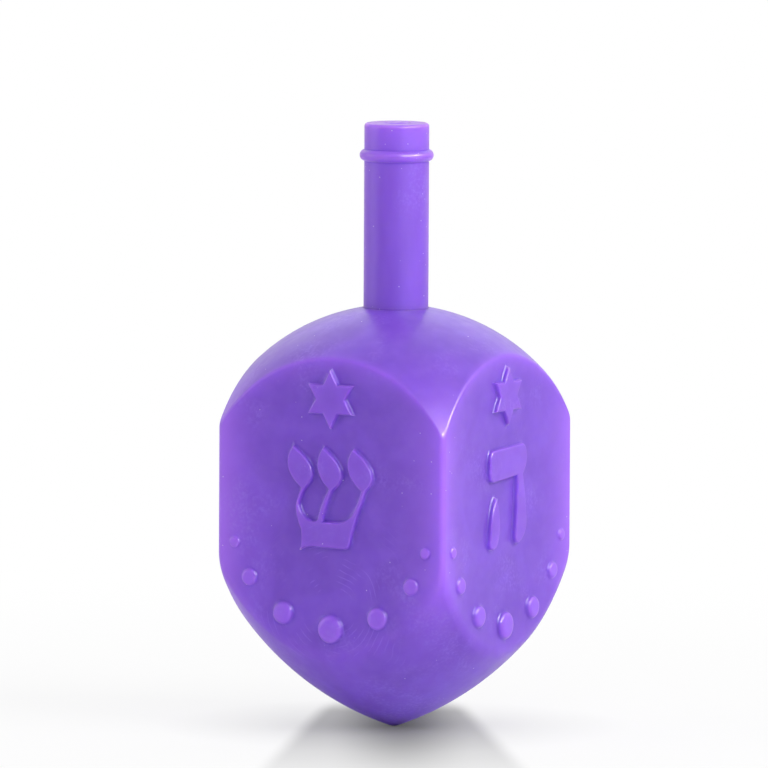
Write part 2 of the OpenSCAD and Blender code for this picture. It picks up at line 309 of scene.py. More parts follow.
class StageLook(bpy.types.PropertyGroup):
    """Camera, light and floor."""

    azimuth: turn("Azimuth", "How far the camera stands to the right of the front", 29.9)
    elevation: turn("Elevation", "How high the camera stands", 5.35)
    lean: turn("Lean", "How far the picture leans to the right", 0.3)
    distance: size("Distance", "Distance of the camera", 1.2)
    view_height: size("View height", "Height that the picture shows", 0.05624)
    middle_x: share("Middle x", "Pixel column of the object's middle", 395.3, PHOTO_PIXELS)
    middle_y: share("Middle y", "Pixel row of the object's middle", 424.0, PHOTO_PIXELS)
    key_power: share("Key power", "Power of the lamp on the right, in watts", 2.2, 100.0)
    fill_power: share("Fill power", "Power of the lamp on the left, in watts", 0.87, 100.0)
    front_power: share("Front power", "Power of the lamp above the camera, in watts", 0.95, 100.0)
    back_power: share("Back power", "Power of the lamp behind the object, in watts", 0.66, 100.0)
    glint_power: share("Glint power", "Power of a lamp that only the gloss shows, in watts", 3.6, 100.0)
    sky_back: share("Light behind", "Light from the surroundings behind the object", 0.46, 10.0)
    sky_front: share("Light in front", "Light from the surroundings behind the camera", 0.16, 10.0)
    sky_mirrored: share("Mirrored light", "Brightness behind the object, seen in the gloss", 0.93)
    floor: tint("Floor colour", "Colour of the floor", (0.91, 0.91, 0.91))
    floor_even: share("Even floor", "Share of the floor's look that the lamps don't change", 0.85)
    floor_level: share("Floor level", "Brightness of that share away from the object", 1.0)
    # Painted shade and a painted shadow on the floor, drawn in its colour
    shade_depth: share("Shade depth", "How dark the shade under the object is", 0.22, 10.0)
    shade_reach: size("Shade reach", "How far from the object its shade reaches", 0.01)
    shadow_turn: turn("Shadow turn", "How far to the right of the front the shadow falls", 29.9)
    shadow_dark: share("Shadow", "How dark the shadow of the body is", 0.5)
    shadow_half: size("Shadow half width", "Half width of that shadow at the spinning point", 0.0064)
    shadow_widen: share("Shadow spread", "How much wider it gets per length", 0.107)
    shadow_soft: size("Shadow softness", "Half width of its soft edge", 0.0009)
    shadow_length: size("Shadow length", "How far it falls from the spinning point", 0.06)
    core_dark: share("Core", "How dark the shadow's core is", 0.85)
    core_half: size("Core half width", "Half width of the core, which is soft all over", 0.0056)
    core_aside: size("Core aside", "How far the core's middle lies to the right", 0.0005)
    core_length: size("Core length", "How far the core falls from that point", 0.045)
    shadow_start: size("Shadow start", "How far behind the spinning point the shadow starts", 0.018)
    shadow_full: size("Shadow full", "How far behind the spinning point it is darkest", 0.008)
    floor_clear: size("Floor clear", "Distance from the object at which the floor starts to fade", 0.008)
    floor_fade: size("Floor fade", "Distance from the object at which the floor is white", 0.11)


def arc(centre, radius, start, end, steps):
    """Points along a round stretch of a profile, without its first point."""
    turns = [start + (end - start) * k / steps for k in range(1, steps + 1)]
    return [(centre[0] + radius * math.cos(a), centre[1] + radius * math.sin(a)) for a in turns]


def straight(start, end, steps):
    """Points along a straight stretch of a profile, without its first point."""
    shares = [k / steps for k in range(1, steps + 1)]
    return [(start[0] + (end[0] - start[0]) * s, start[1] + (end[1] - start[1]) * s) for s in shares]


def face_curve(body):
    """Distance of a face's middle from the axis, and the radius of its hollow."""
    curve = (body.corner_half**2 + body.face_sink**2) / (2 * body.face_sink)
    return body.corner_half - body.face_sink, curve


def face_distance(body, across):
    """Distance of a hollow face from the axis, at distances across it from its middle."""
    half, curve = face_curve(body)
    return half + curve - np.sqrt(curve**2 - np.square(across))


def point_centre(body):
    """Centre of the curve that runs from the faces down to the tip, in an upright half plane."""
    core = body.point_radius - body.tip_radius
    return -body.point_past, body.tip_radius + math.sqrt(core**2 - body.point_past**2)


def face_plan(body):
    """One face seen from above, from corner middle to corner middle, as (across, distance) pairs."""
    half, curve = face_curve(body)
    centre = half + curve
    reach = curve + body.corner_radius
    corner = (centre - math.sqrt(2 * reach**2 - centre**2)) / 2
    tilt = math.atan2(corner, centre - corner)
    steps = [-tilt + 2 * tilt * k / FACE_COLUMNS for k in range(FACE_COLUMNS + 1)]
    face = [(curve * math.sin(a), centre - curve * math.cos(a)) for a in steps]
    round_end = arc((corner, corner), body.corner_radius, QUARTER + tilt, QUARTER / 2, CORNER_COLUMNS)
    round_start = [(-across, distance) for across, distance in reversed(round_end)]
    return round_start + face + round_end


def edge_round(centre, radius, reach, across, ease, side):
    """Fillet between an upright side and a round curve: its centre, its radius and its turn."""
    run = reach - centre[0]
    rise = math.sqrt(radius**2 - run**2)
    slope = run / rise * across / reach
    drop = ease * math.hypot(1.0, slope)
    fillet = drop / math.tan(math.atan2(rise, run) / 2)
    inner_rise = math.sqrt((radius - fillet) ** 2 - (run - fillet) ** 2)
    turn_end = side * math.atan2(inner_rise, run - fillet)
    return (reach - fillet, centre[1] + side * inner_rise), fillet, turn_end


def outer_profile(body, across, reach, bore):
    """Outer surface in an upright half plane, from the tip to the bore."""
    point, dome = point_centre(body), (0.0, body.dome_height)
    low, low_radius, low_turn = edge_round(point, body.point_radius, reach, across, body.low_ease, -1)
    top, top_radius, top_turn = edge_round(dome, body.dome_radius, reach, across, body.top_ease, 1)
    tip_turn = math.atan2(body.tip_radius - point[1], body.point_past)
    points = [(0.0, 0.0)]
    points += arc((0.0, body.tip_radius), body.tip_radius, -QUARTER, tip_turn, TIP_ROWS)
    points += arc(point, body.point_radius, tip_turn, low_turn, POINT_ROWS)
    points += arc(low, low_radius, low_turn, 0.0, LOW_ROWS)
    points += straight((reach, low[1]), (reach, top[1]), SIDE_ROWS)
    points += arc(top, top_radius, 0.0, top_turn, TOP_ROWS)
    points += arc(dome, body.dome_radius, top_turn, math.acos(bore / body.dome_radius), DOME_ROWS)
    return points


def seat_profile(bore, pocket, stem):
    """Bore and pocket that hold the stem, down to the collar's floor on the axis."""
    ledge = STEM_LOW.z + stem.key_height
    return [(bore, ledge), (pocket, ledge), (pocket, STEM_LOW.z), (0.0, STEM_LOW.z)]


def inner_profile(body, reach, collar):
    """Underside of the collar and the inside of the wall, from the axis to the axis."""
    point = point_centre(body)
    dome_radius, point_radius = body.dome_radius - body.wall, body.point_radius - body.wall
    foot = STEM_LOW.z - body.collar_floor
    shoulder, side_turn = math.acos(collar / dome_radius), math.acos(reach / dome_radius)
    low_turn = -math.acos((reach - point[0]) / point_radius)
    end_turn = -math.acos(-point[0] / point_radius)
    crest = body.dome_height + dome_radius * math.sin(shoulder)
    knee = body.dome_height + dome_radius * math.sin(side_turn)
    heel = point[1] + point_radius * math.sin(low_turn)
    points = [(0.0, foot), (collar, foot), (collar, crest)]
    points += arc((0.0, body.dome_height), dome_radius, shoulder, side_turn, INSIDE_ROWS)
    points += straight((reach, knee), (reach, heel), INSIDE_ROWS)
    points += arc(point, point_radius, low_turn, end_turn, INSIDE_ROWS)
    return points


def half_columns(body, stem):
    """Upright sections of a half with the front and right faces: (direction, outer, inner) each."""
    bore = stem.radius + body.bore_gap
    pocket = (stem.radius + stem.key_proud) * math.sqrt(2)
    collar = pocket + body.collar_wall
    half = face_curve(body)[0]
    plan = face_plan(body)
    columns = []
    for quarter, places in enumerate((plan[:-1], plan)):
        for across, distance in places:
            reach = math.hypot(across, distance)
            outward = Vector((across, -distance, 0.0)).normalized()
            outward.rotate(Matrix.Rotation(quarter * QUARTER, 3, "Z"))
            outer = outer_profile(body, abs(across), reach, bore) + seat_profile(bore, pocket, stem)
            inner = inner_profile(body, reach * (half - body.wall) / half, collar)
            columns.append((outward, outer, inner))
    return columns


def spun_half(body, stem):
    """Bare closed half shell with the front and right faces."""
    columns = half_columns(body, stem)
    steps = len(columns) - 1
    shell = bmesh.new()
    row_layer = shell.verts.layers.int.new("row")
    start = Vector((math.cos(SEAM_TURN), math.sin(SEAM_TURN), 0.0))
    row = 0
    for section in columns[0][1:]:
        verts = []
        for across, height in section:
            verts.append(shell.verts.new(start * across + Vector((0.0, 0.0, height))))
            verts[-1][row_layer] = row
            row += 1
        for pair in zip(verts, verts[1:]):
            shell.edges.new(pair)
    bmesh.ops.spin(
        shell, geom=shell.verts[:] + shell.edges[:], cent=(0, 0, 0), axis=(0, 0, 1),
        angle=math.pi, steps=steps,
    )
    # Each spun section takes the profile of its own place in the plan
    for vert in shell.verts:
        turned = (math.atan2(vert.co.y, vert.co.x) - SEAM_TURN) % math.tau
        outward, outer, inner = columns[round(turned * steps / math.pi) % (2 * steps)]
        across, height = (outer + inner)[vert[row_layer]]
        vert.co = outward * across + Vector((0.0, 0.0, height))
    bmesh.ops.remove_doubles(shell, verts=shell.verts, dist=WELD)
    rim = [edge for edge in shell.edges if edge.is_boundary]
    bmesh.ops.triangle_fill(shell, edges=rim, normal=(1, -1, 0))
    bmesh.ops.recalc_face_normals(shell, faces=shell.faces)
    return shell


def tidy_outline(points):
    """Outline that runs anticlockwise and has no very short sides."""
    kept = [points[0]]
    for point in points[1:]:
        if min(math.dist(point, kept[-1]), math.dist(point, kept[0])) > SHORT_SIDE:
            kept.append(point)
    ring = np.array(kept)
    after = np.roll(ring, -1, axis=0)
    area = np.sum(ring[:, 0] * after[:, 1] - ring[:, 1] * after[:, 0])
    return ring if area > 0 else ring[::-1]


def mark_outlines(node, turned):
    """Outlines of the raised marks on the face at a turn, as rings of (across, height) points."""
    marks = bmesh.new()
    marks.from_mesh(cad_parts[node].data)
    bmesh.ops.rotate(marks, cent=(0, 0, 0), matrix=Matrix.Rotation(-turned, 3, "Z"), verts=marks.verts)
    bmesh.ops.remove_doubles(marks, verts=marks.verts, dist=WELD)
    below = [f for f in marks.faces if any(v.co.y > PLANE_TOLERANCE - RELIEF_PLANE for v in f.verts)]
    bmesh.ops.delete(marks, geom=below, context="FACES")
    bmesh.ops.dissolve_limit(marks, angle_limit=STRAIGHT_TURN, verts=marks.verts, edges=marks.edges)
    outlines = [tidy_outline([(v.co.x, v.co.z) for v in face.verts]) for face in marks.faces]
    marks.free()
    return outlines


def soft_outline(points, corner):
    """Outline with a point more on each side, bowed out to the curve where its ends aren't corners."""
    ring = np.array(points)
    ahead = np.roll(ring, -1, axis=0) - ring
    length = np.linalg.norm(ahead, axis=1)
    heading = np.arctan2(ahead[:, 1], ahead[:, 0])
    bend = np.angle(np.exp(1j * (heading - np.roll(heading, 1))))
    bend[np.abs(bend) > corner] = 0.0
    # A side turns by half of the bend at each of its ends
    bow = ARC_RISE * (bend + np.roll(bend, -1)) / 2
    bow[length > LONG_SIDE] = 0.0
    outward = np.stack([ahead[:, 1], -ahead[:, 0]], axis=1)
    middles = ring + ahead / 2 + bow[:, None] * outward
    return np.stack([ring, middles], axis=1).reshape(-1, 2)


def round_outline(points):
    """Even circle in place of a dot's outline, or None where the outline isn't a dot."""
    ring = np.array(points)
    centre = (ring.min(axis=0) + ring.max(axis=0)) / 2
    radii = np.linalg.norm(ring - centre, axis=1)
    if np.ptp(radii) > ROUND_TOLERANCE * radii.mean():
        return None
    turns = np.linspace(0.0, math.tau, DOT_POINTS, endpoint=False)
    return centre + radii.max() * np.stack([np.cos(turns), np.sin(turns)], axis=1)


def mitres(ring):
    """For each point of an outline, the way it moves when the outline grows by one."""
    ahead = np.roll(ring, -1, axis=0) - ring
    out = np.stack([ahead[:, 1], -ahead[:, 0]], axis=1) / np.linalg.norm(ahead, axis=1)[:, None]
    middle = out + np.roll(out, 1, axis=0)
    middle /= np.linalg.norm(middle, axis=1)[:, None]
    return middle / np.maximum(np.sum(out * middle, axis=1), 1 / MITRE_LIMIT)[:, None]


def neck_room(ring):
    """Distance from each point of an outline to the nearest point across a neck or a notch."""
    side = np.linalg.norm(np.roll(ring, -1, axis=0) - ring, axis=1)
    start = np.cumsum(side) - side
    along = np.abs(start[:, None] - start[None, :])
    along = np.minimum(along, side.sum() - along)
    gap = np.linalg.norm(ring[:, None, :] - ring[None, :, :], axis=2)
    return np.where(along > NECK_DETOUR * gap, gap, np.inf).min(axis=1)


def growth_limit(ring, grow, most):
    """How far each point of an outline may grow, so that the outline never crosses or folds over."""
    limit = np.minimum(most, ROOM_SHARE * neck_room(ring))
    side = np.roll(ring, -1, axis=0) - ring
    step = GROWTH_SLOPE * np.linalg.norm(side, axis=1)
    count = len(ring)
    for k in range(2 * count):
        limit[k % count] = min(limit[k % count], limit[(k - 1) % count] + step[(k - 1) % count])
    for k in reversed(range(2 * count)):
        limit[k % count] = min(limit[k % count], limit[(k + 1) % count] + step[k % count])
    for _ in range(FOLD_TRIES):
        spread = ring + limit[:, None] * grow
        ahead = np.roll(spread, -1, axis=0) - spread
        kept = np.sum(ahead * side, axis=1) / np.sum(side * side, axis=1)
        folded = kept < FOLD_LEFT
        if not folded.any():
            break
        limit[folded | np.roll(folded, 1)] *= FOLD_EASE
    return limit[:, None]


def mark_rings(crown_foot):
    """Section of a mark from foot to top: shares of its foot fillet, its crown and its height."""
    turns = [math.radians(ROUND_TURN * k) for k in range(ROUND_STEPS + 1)]
    rings = [(1.0, 0.0, -RING_SINK)]
    rings += [(1 - math.sin(a), 0.0, FILLET_HEIGHT * (1 - math.cos(a))) for a in turns[1:-1]]
    rings += [(0.0, 1 - math.cos(a), crown_foot + (1 - crown_foot) * math.sin(a)) for a in turns]
    return rings


def raise_mark(marks, ring, crown, crown_foot, body, mark):
    """Adds one closed mark on the front face, extruded ring by ring from its buried outline."""
    island = bmesh.new()
    index = island.verts.layers.int.new("index")
    grow = mitres(ring)
    foot_room = growth_limit(ring, grow, mark.foot)
    crown_room = growth_limit(ring, -grow, crown)

    def place(foot_share, crown_share, height_share):
        spread = ring + (foot_room * foot_share - crown_room * crown_share) * grow
        face = face_distance(body, spread[:, 0])
        away = face - mark.root if height_share is None else face + height_share * (RELIEF_PLANE - face)
        return [Vector((x, -y, z)) for (x, z), y in zip(spread, away)]

    verts = [island.verts.new(spot) for spot in place(1.0, 0.0, None)]
    for k, vert in enumerate(verts):
        vert[index] = k
    floor = face = island.faces.new(verts)
    for shares in mark_rings(crown_foot):
        made = bmesh.ops.extrude_face_region(island, geom=[face])
        if face is not floor:
            bmesh.ops.delete(island, geom=[face], context="FACES_ONLY")
        face = next(item for item in made["geom"] if isinstance(item, bmesh.types.BMFace))
        spots = place(*shares)
        for vert in face.verts:
            vert.co = spots[vert[index]]
    bmesh.ops.recalc_face_normals(island, faces=island.faces)
    if island.calc_volume(signed=True) < 0:
        bmesh.ops.reverse_faces(island, faces=island.faces)
    mesh = bpy.data.meshes.new("mark")
    island.to_mesh(mesh)
    island.free()
    marks.from_mesh(mesh)
    bpy.data.meshes.remove(mesh)


def half_marks(node, half_turn, body, mark):
    """Closed marks of both faces of a half, as if it were the front half, and where its dots are."""
    marks = bmesh.new()
    dots = []
    for quarter in (0, 1):
        start = len(marks.verts)
        spin = Matrix.Rotation(quarter * QUARTER, 3, "Z")
        for points in mark_outlines(node, half_turn + quarter * QUARTER):
            ring = round_outline(points)
            if ring is None:
                ring = soft_outline(points, mark.corner)
                raise_mark(marks, ring, mark.crown, mark.crown_foot, body, mark)
                continue
            radius = np.ptp(ring[:, 0]) / 2
            raise_mark(marks, ring, mark.dot_crown * radius, mark.dot_foot, body, mark)
            across, height = ring.mean(axis=0)
            dots.append((spin @ Vector((across, -RELIEF_PLANE, height)), radius))
        marks.verts.ensure_lookup_table()
        bmesh.ops.rotate(marks, cent=(0, 0, 0), matrix=spin, verts=marks.verts[start:])
    return marks, dots


def new_piece(name, bm):
    """Object at the origin with the mesh of a bmesh, which is used up."""
    mesh = bpy.data.meshes.new(name)
    bm.to_mesh(mesh)
    bm.free()
    piece = bpy.data.objects.new(name, mesh)
    bpy.context.scene.collection.objects.link(piece)
    return piece


def united(name, base, addition):
    """One closed piece from two closed bmeshes."""
    piece = new_piece(name, base)
    other = new_piece(name + "_addition", addition)
    union = piece.modifiers.new("union", "BOOLEAN")
    union.operation = "UNION"
    union.solver = "MANIFOLD"
    union.object = other
    graph = bpy.context.evaluated_depsgraph_get()
    joined = bpy.data.meshes.new_from_object(piece.evaluated_get(graph))
    piece.modifiers.clear()
    old = piece.data
    piece.data = joined
    bpy.data.meshes.remove(old)
    loose = other.data
    bpy.data.objects.remove(other)
    bpy.data.meshes.remove(loose)
    joined.name = name
    if not joined.polygons:
        raise RuntimeError(name + " came out empty")
    return piece


def smooth_piece(piece):
    """Smooth shading with sharp edges where the surface turns, faces weighted by their area."""
    mesh = piece.data
    mesh.polygons.foreach_set("use_smooth", np.ones(len(mesh.polygons), bool))
    mesh.set_sharp_from_angle(angle=SHARP_TURN)
    weighted = piece.modifiers.new("weighted", "WEIGHTED_NORMAL")
    weighted.keep_sharp = True


def set_attribute(mesh, name, values):
    """Stores one number for each vertex."""
    attribute = mesh.attributes.new(name, "FLOAT", "POINT")
    attribute.data.foreach_set("value", np.asarray(values, np.float32))


def vertex_places(mesh):
    """Places of a mesh's vertices, as an array."""
    places = np.empty(len(mesh.vertices) * 3, np.float32)
    mesh.vertices.foreach_get("co", places)
    return places.reshape(-1, 3).astype(float)


def flat_tops(piece):
    """Makes the flat top of each mark one face again."""
    mesh = bmesh.new()
    mesh.from_mesh(piece.data)

    def on_top(face):
        lowest = min(max(abs(vert.co.x), abs(vert.co.y)) for vert in face.verts)
        facing = max(abs(face.normal.x), abs(face.normal.y))
        return lowest > RELIEF_PLANE - FLAT_TOLERANCE and facing > FLAT_FACING

    shared = [edge for edge in mesh.edges if len(edge.link_faces) == 2]
    inside = [edge for edge in shared if all(map(on_top, edge.link_faces))]
    bmesh.ops.dissolve_edges(mesh, edges=inside, use_verts=False)
    mesh.to_mesh(piece.data)
    mesh.free()


def mark_body_edges(piece, body, dots):
    """Stores for each vertex the painted glow of nearby edges, how near it is to the seam, and the
    painted glow of raised marks by how far it is raised.
    """
    places = vertex_places(piece.data)
    x, y, z = places.T
    sides = np.sort(np.stack([np.abs(x), np.abs(y)]), axis=0)
    surface = face_distance(body, np.minimum(sides[0], body.corner_half))
    face = sides[1] - surface
    next_face = sides[0] - face_distance(body, np.minimum(sides[1], body.corner_half))
    dome = np.linalg.norm(places - [0, 0, body.dome_height], axis=1) - body.dome_radius
    centre = point_centre(body)
    point = np.hypot(np.hypot(x, y) - centre[0], z - centre[1]) - body.point_radius
    top = np.hypot(DOME_FALL * face, dome) + BELOW_FALL * np.maximum(body.dome_height - z, 0.0)
    low = np.hypot(face, point)
    corner = np.hypot(face, next_face)
    # Painted glow near the upright, upper and lower edges
    edges = ((corner, CORNER_PALE), (top, TOP_PALE), (low, LOW_PALE))
    near = [strength * np.exp(-((gap / width) ** PALE_POWER)) for gap, (strength, width) in edges]
    set_attribute(piece.data, "edge", np.max(near, axis=0))
    set_attribute(piece.data, "seam", np.abs(x - y) / math.sqrt(2) / MILLIMETRE)
    height = np.clip(face / np.maximum(RELIEF_PLANE - surface, WELD), 0.0, 1.0)
    raised = LETTER_PALE * height
    raised[corner < CORNER_PALE[1]] = 0.0
    for spot, radius in dots:
        nearby = np.linalg.norm(places - spot[:], axis=1) < DOT_REACH * radius
        raised[nearby] = height[nearby]
    set_attribute(piece.data, "raised", raised)


def settle(piece, node, material):
    """Gives a finished piece its material and its place in the frame."""
    piece.data.materials.clear()
    piece.data.materials.append(material)
    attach(piece, "root")
    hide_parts(node)


def add_node(tree, kind, inputs, **settings):
    """Node with its settings, its constants and its links."""
    node = tree.nodes.new(kind)
    node.location.x = NODE_STEP * len(tree.nodes)
    for key, value in settings.items():
        setattr(node, key, value)
    for key, value in inputs.items():
        if isinstance(value, bpy.types.NodeSocket):
            tree.links.new(value, node.inputs[key])
        else:
            node.inputs[key].default_value = value
    return node


def mix_colour(tree, factor, first, second):
    """Colour between two colours, each a socket or a constant."""
    mix = add_node(tree, "ShaderNodeMix", {}, data_type="RGBA")
    for key, value in ((MIX_FACTOR, factor), (COLOUR_FIRST, first), (COLOUR_SECOND, second)):
        socket = mix.inputs[key]
        if isinstance(value, bpy.types.NodeSocket):
            tree.links.new(value, socket)
        elif isinstance(value, float):
            socket.default_value = value
        else:
            socket.default_value = (*value, 1.0)
    return mix.outputs[COLOUR_RESULT]


def mix_number(tree, factor, first, second):
    """Number between two numbers, each a socket or a constant."""
    inputs = {MIX_FACTOR: factor, NUMBER_FIRST: first, NUMBER_SECOND: second}
    return add_node(tree, "ShaderNodeMix", inputs).outputs[NUMBER_RESULT]


def combine(tree, operation, first, second):
    """Result of a sum on two numbers, each a socket or a constant."""
    return add_node(tree, "ShaderNodeMath", {0: first, 1: second}, operation=operation).outputs[0]


def ranged(tree, value, low, high, to_low, to_high):
    """A number moved from one range to another, smoothly and kept inside it."""
    inputs = {"Value": value, "From Min": low, "From Max": high, "To Min": to_low, "To Max": to_high}
    return add_node(tree, "ShaderNodeMapRange", inputs, interpolation_type="SMOOTHSTEP").outputs[0]


def grain(tree, vector, kind):
    """Noise of one kind, given as its scale, detail and distortion."""
    scale, detail, distortion = kind
    inputs = {"Vector": vector, "Scale": scale, "Detail": detail, "Distortion": distortion}
    return add_node(tree, "ShaderNodeTexNoise", inputs).outputs["Fac"]


def bump(tree, height, distance, **below):
    """Normal of a surface that a height moves by a distance, on top of the bumps below it."""
    inputs = {"Strength": 1.0, "Distance": distance, "Height": height, **below}
    return add_node(tree, "ShaderNodeBump", inputs).outputs[0]


def vertex_number(tree, name):
    """Number that is stored for each vertex."""
    return add_node(tree, "ShaderNodeAttribute", {}, attribute_name=name).outputs["Fac"]


def scuff_pattern(tree, spot, centre):
    """Scuffs that run in broken rings round one place and fade away from it."""
    at = tuple(-c / MILLIMETRE for c in centre)
    about = add_node(tree, "ShaderNodeMapping", {"Vector": spot, "Location": at}).outputs[0]
    rings = add_node(
        tree, "ShaderNodeTexWave", {"Vector": about, **SCUFF_RINGS},
        wave_type="RINGS", rings_direction="SPHERICAL",
    ).outputs["Fac"]
    lines = ranged(tree, rings, *SCUFF_LINE, 0.0, 1.0)
    patches = ranged(tree, grain(tree, spot, PATCH_GRAIN), *PATCH_RANGE, 0.0, 1.0)
    far = add_node(tree, "ShaderNodeVectorMath", {0: about}, operation="LENGTH").outputs["Value"]
    nearby = ranged(tree, far, *SCUFF_FADE, 1.0, 0.0)
    return combine(tree, "MULTIPLY", combine(tree, "MULTIPLY", lines, patches), nearby)


def speck_and_glint_pattern(tree, spot, spotted):
    """Fine pale specks, partly specks in the plastic and partly painted glints, in a share of the cells
    only.
    """
    cells = add_node(tree, "ShaderNodeTexVoronoi", {"Vector": spot, "Scale": SPECK_SCALE})
    chance = add_node(tree, "ShaderNodeSeparateColor", {"Color": cells.outputs["Color"]}).outputs[0]
    low, high = 1.0 - SPECK_CHOICE - spotted, 1.0 + SPECK_CHOICE - spotted
    dot = ranged(tree, cells.outputs["Distance"], *SPECK_EDGE, 1.0, 0.0)
    return combine(tree, "MULTIPLY", dot, ranged(tree, chance, low, high, 0.0, 1.0))


def violet_plastic(name, look, scuff_centre, streak, lighter, depth, sheen, spotted):
    """Waxy violet plastic with flow marks, scuffs, fine grain, pale specks that partly paint glints, and
    edges painted paler as a glow.
    """
    material = bpy.data.materials.new(name)
    material.use_nodes = True
    tree = material.node_tree
    shader = tree.nodes["Principled BSDF"]
    place = add_node(tree, "ShaderNodeTexCoord", {}).outputs["Object"]
    per_mm = (1 / MILLIMETRE,) * 3
    spot = add_node(tree, "ShaderNodeMapping", {"Vector": place, "Scale": per_mm}).outputs[0]
    stretch = (per_mm[0], per_mm[1], streak / MILLIMETRE)
    drawn = add_node(tree, "ShaderNodeMapping", {"Vector": place, "Scale": stretch}).outputs[0]

    # Flow marks of the moulding, broad and fine
    flow = ranged(tree, grain(tree, drawn, FLOW_GRAIN), *FLOW_RANGE, 0.0, 1.0)
    cloud = ranged(tree, grain(tree, drawn, CLOUD_GRAIN), *CLOUD_RANGE, 0.0, 1.0)
    base = mix_colour(tree, flow, look.deep, look.colour)
    # The slim stem is painted paler, standing in for light that comes through it
    base = mix_colour(tree, lighter, base, look.edge)
    base = mix_colour(tree, combine(tree, "MULTIPLY", cloud, CLOUD_SHARE), base, look.pale)

    # Edges and raised marks are painted paler, standing in for light that comes through them
    for stored, strength in (("edge", look.painted_edge_glow), ("raised", look.raised)):
        factor = combine(tree, "MULTIPLY", vertex_number(tree, stored), strength)
        base = mix_colour(tree, factor, base, look.edge)

    # Scuffs, faint frosted patches that fine grain breaks up, and pale specks that are partly specks in
    # the plastic and partly painted glints
    scuff = scuff_pattern(tree, spot, scuff_centre)
    base = mix_colour(tree, combine(tree, "MULTIPLY", scuff, look.scuffs), base, look.pale)
    worn = ranged(tree, grain(tree, spot, WORN_GRAIN), *WORN_RANGE, 0.0, 1.0)
    rime = ranged(tree, grain(tree, spot, FROST_GRAIN), *FROST_RANGE, 0.0, look.frost)
    base = mix_colour(tree, combine(tree, "MULTIPLY", worn, rime), base, look.pale)
    speck = speck_and_glint_pattern(tree, spot, spotted)
    base = mix_colour(tree, combine(tree, "MULTIPLY", speck, look.specks), base, look.speck)
    tree.links.new(base, shader.inputs["Base Color"])

    # Gloss varies from place to place, and scuffs dull it
    dullest, glossiest = look.gloss + GLOSS_UP, look.gloss - GLOSS_DOWN
    gloss = ranged(tree, grain(tree, spot, GLOSS_GRAIN), *GLOSS_RANGE, glossiest, dullest)
    gloss = combine(tree, "ADD", gloss, combine(tree, "MULTIPLY", scuff, SCUFF_DULL))
    tree.links.new(gloss, shader.inputs["Roughness"])
    shader.inputs["Specular IOR Level"].default_value = look.shine
    shader.inputs["Coat Weight"].default_value = look.skin
    shader.inputs["Coat Roughness"].default_value = SKIN_ROUGHNESS

    # Slight waves, fine grain, scuffs and specks stand out of the surface
    waves = bump(tree, grain(tree, drawn, WAVE_GRAIN), WAVE_HEIGHT)
    fine = bump(tree, grain(tree, spot, FINE_GRAIN), GRAIN_HEIGHT, Normal=waves)
    proud = combine(tree, "ADD", speck, combine(tree, "MULTIPLY", scuff, SCUFF_PROUD))
    relief = bump(tree, proud, SPECK_HEIGHT, Normal=fine)
    tree.links.new(relief, shader.inputs["Normal"])
    tree.links.new(relief, shader.inputs["Coat Normal"])

    # A faint haze shows where the surface turns away
    shader.inputs["Sheen Weight"].default_value = sheen
    shader.inputs["Sheen Roughness"].default_value = HAZE_ROUGHNESS
    shader.inputs["Sheen Tint"].default_value = (*look.haze, 1.0)

    # Light scatters below the surface, except right at the seam
    shader.inputs["Subsurface Radius"].default_value = SCATTER
    shader.inputs["Subsurface Scale"].default_value = depth
    reach = SEAM_REACH * depth / MILLIMETRE
    weight = ranged(tree, vertex_number(tree, "seam"), 0.0, reach, 0.0, look.glow)
    tree.links.new(weight, shader.inputs["Subsurface Weight"])
    return material


class DREIDEL_OT_half_shells(bpy.types.Operator):
    """Model the two hollow half shells with their raised letters, stars and dots"""

    bl_idname = "dreidel.half_shells"
    bl_label = "Half Shells"

    def execute(self, context):
        scene = context.scene
        body, mark, stem = scene.dreidel_body, scene.dreidel_marks, scene.dreidel_stem
        look = scene.dreidel_plastic
        material = violet_plastic(
            "violet_plastic_body", look, SCUFF_CENTRE, streak=1.0, lighter=0.0, depth=look.glow_depth,
            sheen=0.0, spotted=BODY_SPECKS_AND_GLINTS,
        )
        for node, half_turn in HALVES:
            marks, dots = half_marks(node, half_turn, body, mark)
            piece = united(node + "_moulding", spun_half(body, stem), marks)
            flat_tops(piece)
            mark_body_edges(piece, body, dots)
            piece.data.transform(Matrix.Rotation(half_turn, 4, "Z"))
            smooth_piece(piece)
            settle(piece, node, material)
        return {"FINISHED"}


def soft_max(first, second, blend):
    """The larger of two numbers, rounded off where they are alike."""
    gap = max(blend - abs(first - second), 0.0)
    return max(first, second) + gap * gap / (4 * blend)


def stem_profile(stem):
    """Stem in an upright half plane, from the middle of its end down to the middle of its foot."""
    end, foot = STEM_HIGH.z, STEM_LOW.z
    shoulder = end - stem.gate_height
    bead = end - stem.bead_drop
    ring = STEM_HIGH.x - stem.bead_section
    points = [(0.0, end)]
    points += straight((0.0, end), (stem.gate_radius * SCAR_FLAT, end), SCAR_ROWS)
    points += straight(points[-1], (stem.gate_radius, shoulder), SCAR_SIDE_ROWS)
    points += straight(points[-1], (stem.radius - stem.edge_radius, shoulder), END_ROWS)
    corner = (stem.radius - stem.edge_radius, shoulder - stem.edge_radius)
    points += arc(corner, stem.edge_radius, QUARTER, 0.0, EDGE_ROWS)
    above, below = bead + 2 * stem.bead_section, bead - 2 * stem.bead_section
    points += straight(points[-1], (stem.radius, above), NECK_ROWS)
    for _, height in straight((0.0, above), (0.0, below), BEAD_ROWS):
        rise = stem.bead_section**2 - (height - bead) ** 2
        swell = ring + math.sqrt(rise) if rise > 0 else 0.0
        points.append((min(soft_max(stem.radius, swell, stem.bead_fillet), STEM_HIGH.x), height))
    points += straight(points[-1], (stem.radius, foot), SHANK_ROWS)
    points.append((0.0, foot))
    return points


